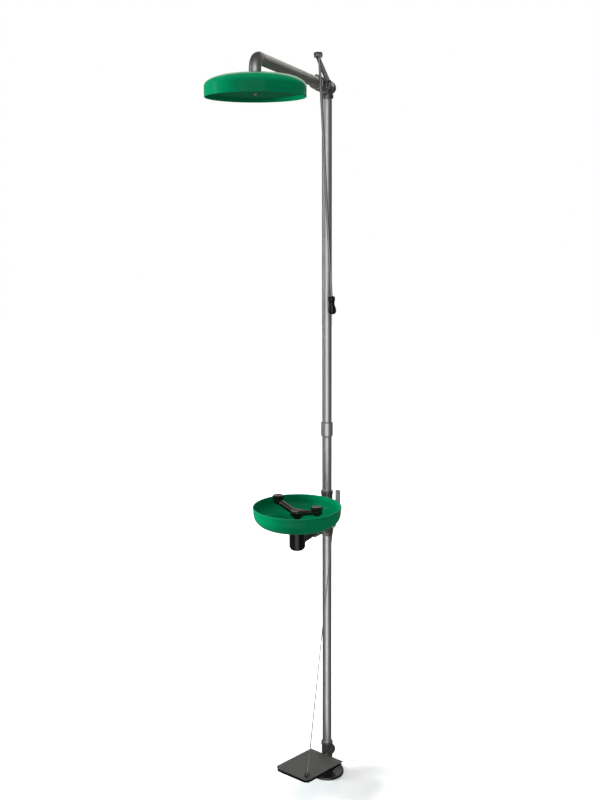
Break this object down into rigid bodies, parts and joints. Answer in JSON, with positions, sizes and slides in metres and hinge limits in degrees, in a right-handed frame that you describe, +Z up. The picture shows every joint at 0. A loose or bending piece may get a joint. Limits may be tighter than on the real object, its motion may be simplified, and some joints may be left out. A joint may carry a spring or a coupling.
{
  "type": "combination emergency shower and eyewash station",
  "caption": "Floor-mounted combination emergency drench shower and eyewash station with a pull rod, a hand lever and a foot treadle.",
  "frame": {"origin": "on the floor under the riser, in the flat underside of the floor flange", "axes": "+Z up the riser; the shower arm points forward along -Y; +X is on the right of a viewer who stands in front and faces the station"},
  "size_m": [0.3328, 0.9037, 2.5495],
  "materials": {
    "stainless": "satin stainless pipe and bar",
    "cast_steel": "blasted cast stainless",
    "tread_steel": "brushed sheet, grey brown",
    "green_plastic": "glossy moulded plastic",
    "black_plastic": "glossy black moulding",
    "black_pipe": "black coated pipe",
    "seal": "white valve seat plastic",
    "fibre": "red brown fibre washer"
  },
  "bodies": {
    "station": {"floor_flange": "cast_steel", "base_nipple": "stainless", "base_tee": "cast_steel", "base_tee_plug": "cast_steel", "lower_riser": "stainless", "eyewash_tee": "cast_steel", "riser_nipple": "stainless", "beaded_coupling": "cast_steel", "middle_riser": "stainless", "riser_coupling": "stainless", "upper_riser": "stainless", "top_tee": "cast_steel", "top_tee_plug": "cast_steel", "shower_valve_nipple": "stainless", "shower_valve_body": "stainless", "shower_seat_inlet": "seal", "shower_seat_outlet": "seal", "shower_packing_nut": "stainless", "shower_arm": "stainless", "shower_elbow": "stainless", "head_washer": "fibre", "shower_head": "green_plastic", "head_lock_nut": "stainless", "spreader_hub": "stainless", "spreader_plate": "green_plastic", "spreader_nut": "stainless", "eyewash_nipple": "stainless", "eyewash_valve_body": "stainless", "eyewash_seat_inlet": "seal", "eyewash_seat_outlet": "seal", "eyewash_packing_nut": "stainless", "bowl_arm": "black_pipe", "drain_body": "black_plastic", "drain_nut": "black_plastic", "bowl_gasket": "fibre", "bowl_strainer": "stainless", "eyewash_bowl": "green_plastic", "spray_yoke": "black_plastic", "spray_head_left": "black_plastic", "spray_head_right": "black_plastic", "hinge_bracket": "cast_steel", "bracket_clamp": "cast_steel", "hinge_pin": "stainless"},
    "shower_lever": {"shower_lever": "stainless", "shower_lever_nut": "stainless", "shower_valve_stem": "stainless", "shower_valve_ball": "stainless", "pull_rod_bolt": "stainless", "pull_rod_nut": "stainless"},
    "pull_rod": {"pull_rod": "stainless", "pull_handle": "black_plastic"},
    "hand_lever": {"eyewash_lever": "stainless", "eyewash_lever_nut": "stainless", "eyewash_valve_stem": "stainless", "eyewash_valve_ball": "stainless"},
    "treadle": {"treadle_plate": "tread_steel", "treadle_pan": "tread_steel"},
    "treadle_rod": {"treadle_rod": "stainless"},
    "left_cap": {"dust_cap_left": "black_plastic"},
    "right_cap": {"dust_cap_right": "black_plastic"}
  },
  "joints": [
    {"name": "shower_valve_turn", "type": "hinge", "parent": "station", "child": "shower_lever", "pos_m": [0.00131, -0.09399, 2.472], "axis": [0.9999, 0.014, 0], "range_deg": [0, 84]},
    {"name": "pull_rod_swing", "type": "hinge", "parent": "shower_lever", "child": "pull_rod", "pos_m": [0.04132, -0.22345, 2.54], "axis": [0.9999, 0.014, 0], "range_deg": [-90, 10]},
    {"name": "eyewash_valve_turn", "type": "hinge", "parent": "station", "child": "hand_lever", "pos_m": [-0.01209, -0.07301, 0.97], "axis": [-0.9866, 0.1633, 0], "range_deg": [0, 84]},
    {"name": "treadle_turn", "type": "hinge", "parent": "station", "child": "treadle", "pos_m": [0.00662, -0.04065, 0.08], "axis": [0.9409, -0.3387, 0], "range_deg": [0, 14]},
    {"name": "treadle_rod_swing", "type": "hinge", "parent": "treadle", "child": "treadle_rod", "pos_m": [-0.00414, -0.22849, 0.12097], "axis": [0.9409, -0.3387, 0], "range_deg": [-20, 5]},
    {"name": "left_cap_lift", "type": "slide", "parent": "station", "child": "left_cap", "axis": [0, 0, 1], "range_m": [0, 0.03]},
    {"name": "right_cap_lift", "type": "slide", "parent": "station", "child": "right_cap", "axis": [0, 0, 1], "range_m": [0, 0.03]}
  ],
  "couplings": [
    {"joint": "pull_rod_swing", "follows": "shower_valve_turn", "ratio": -1},
    {"joint": "eyewash_valve_turn", "follows": "treadle_turn", "ratio": 6},
    {"joint": "treadle_rod_swing", "follows": "treadle_turn", "ratio": -1.05}
  ]
}
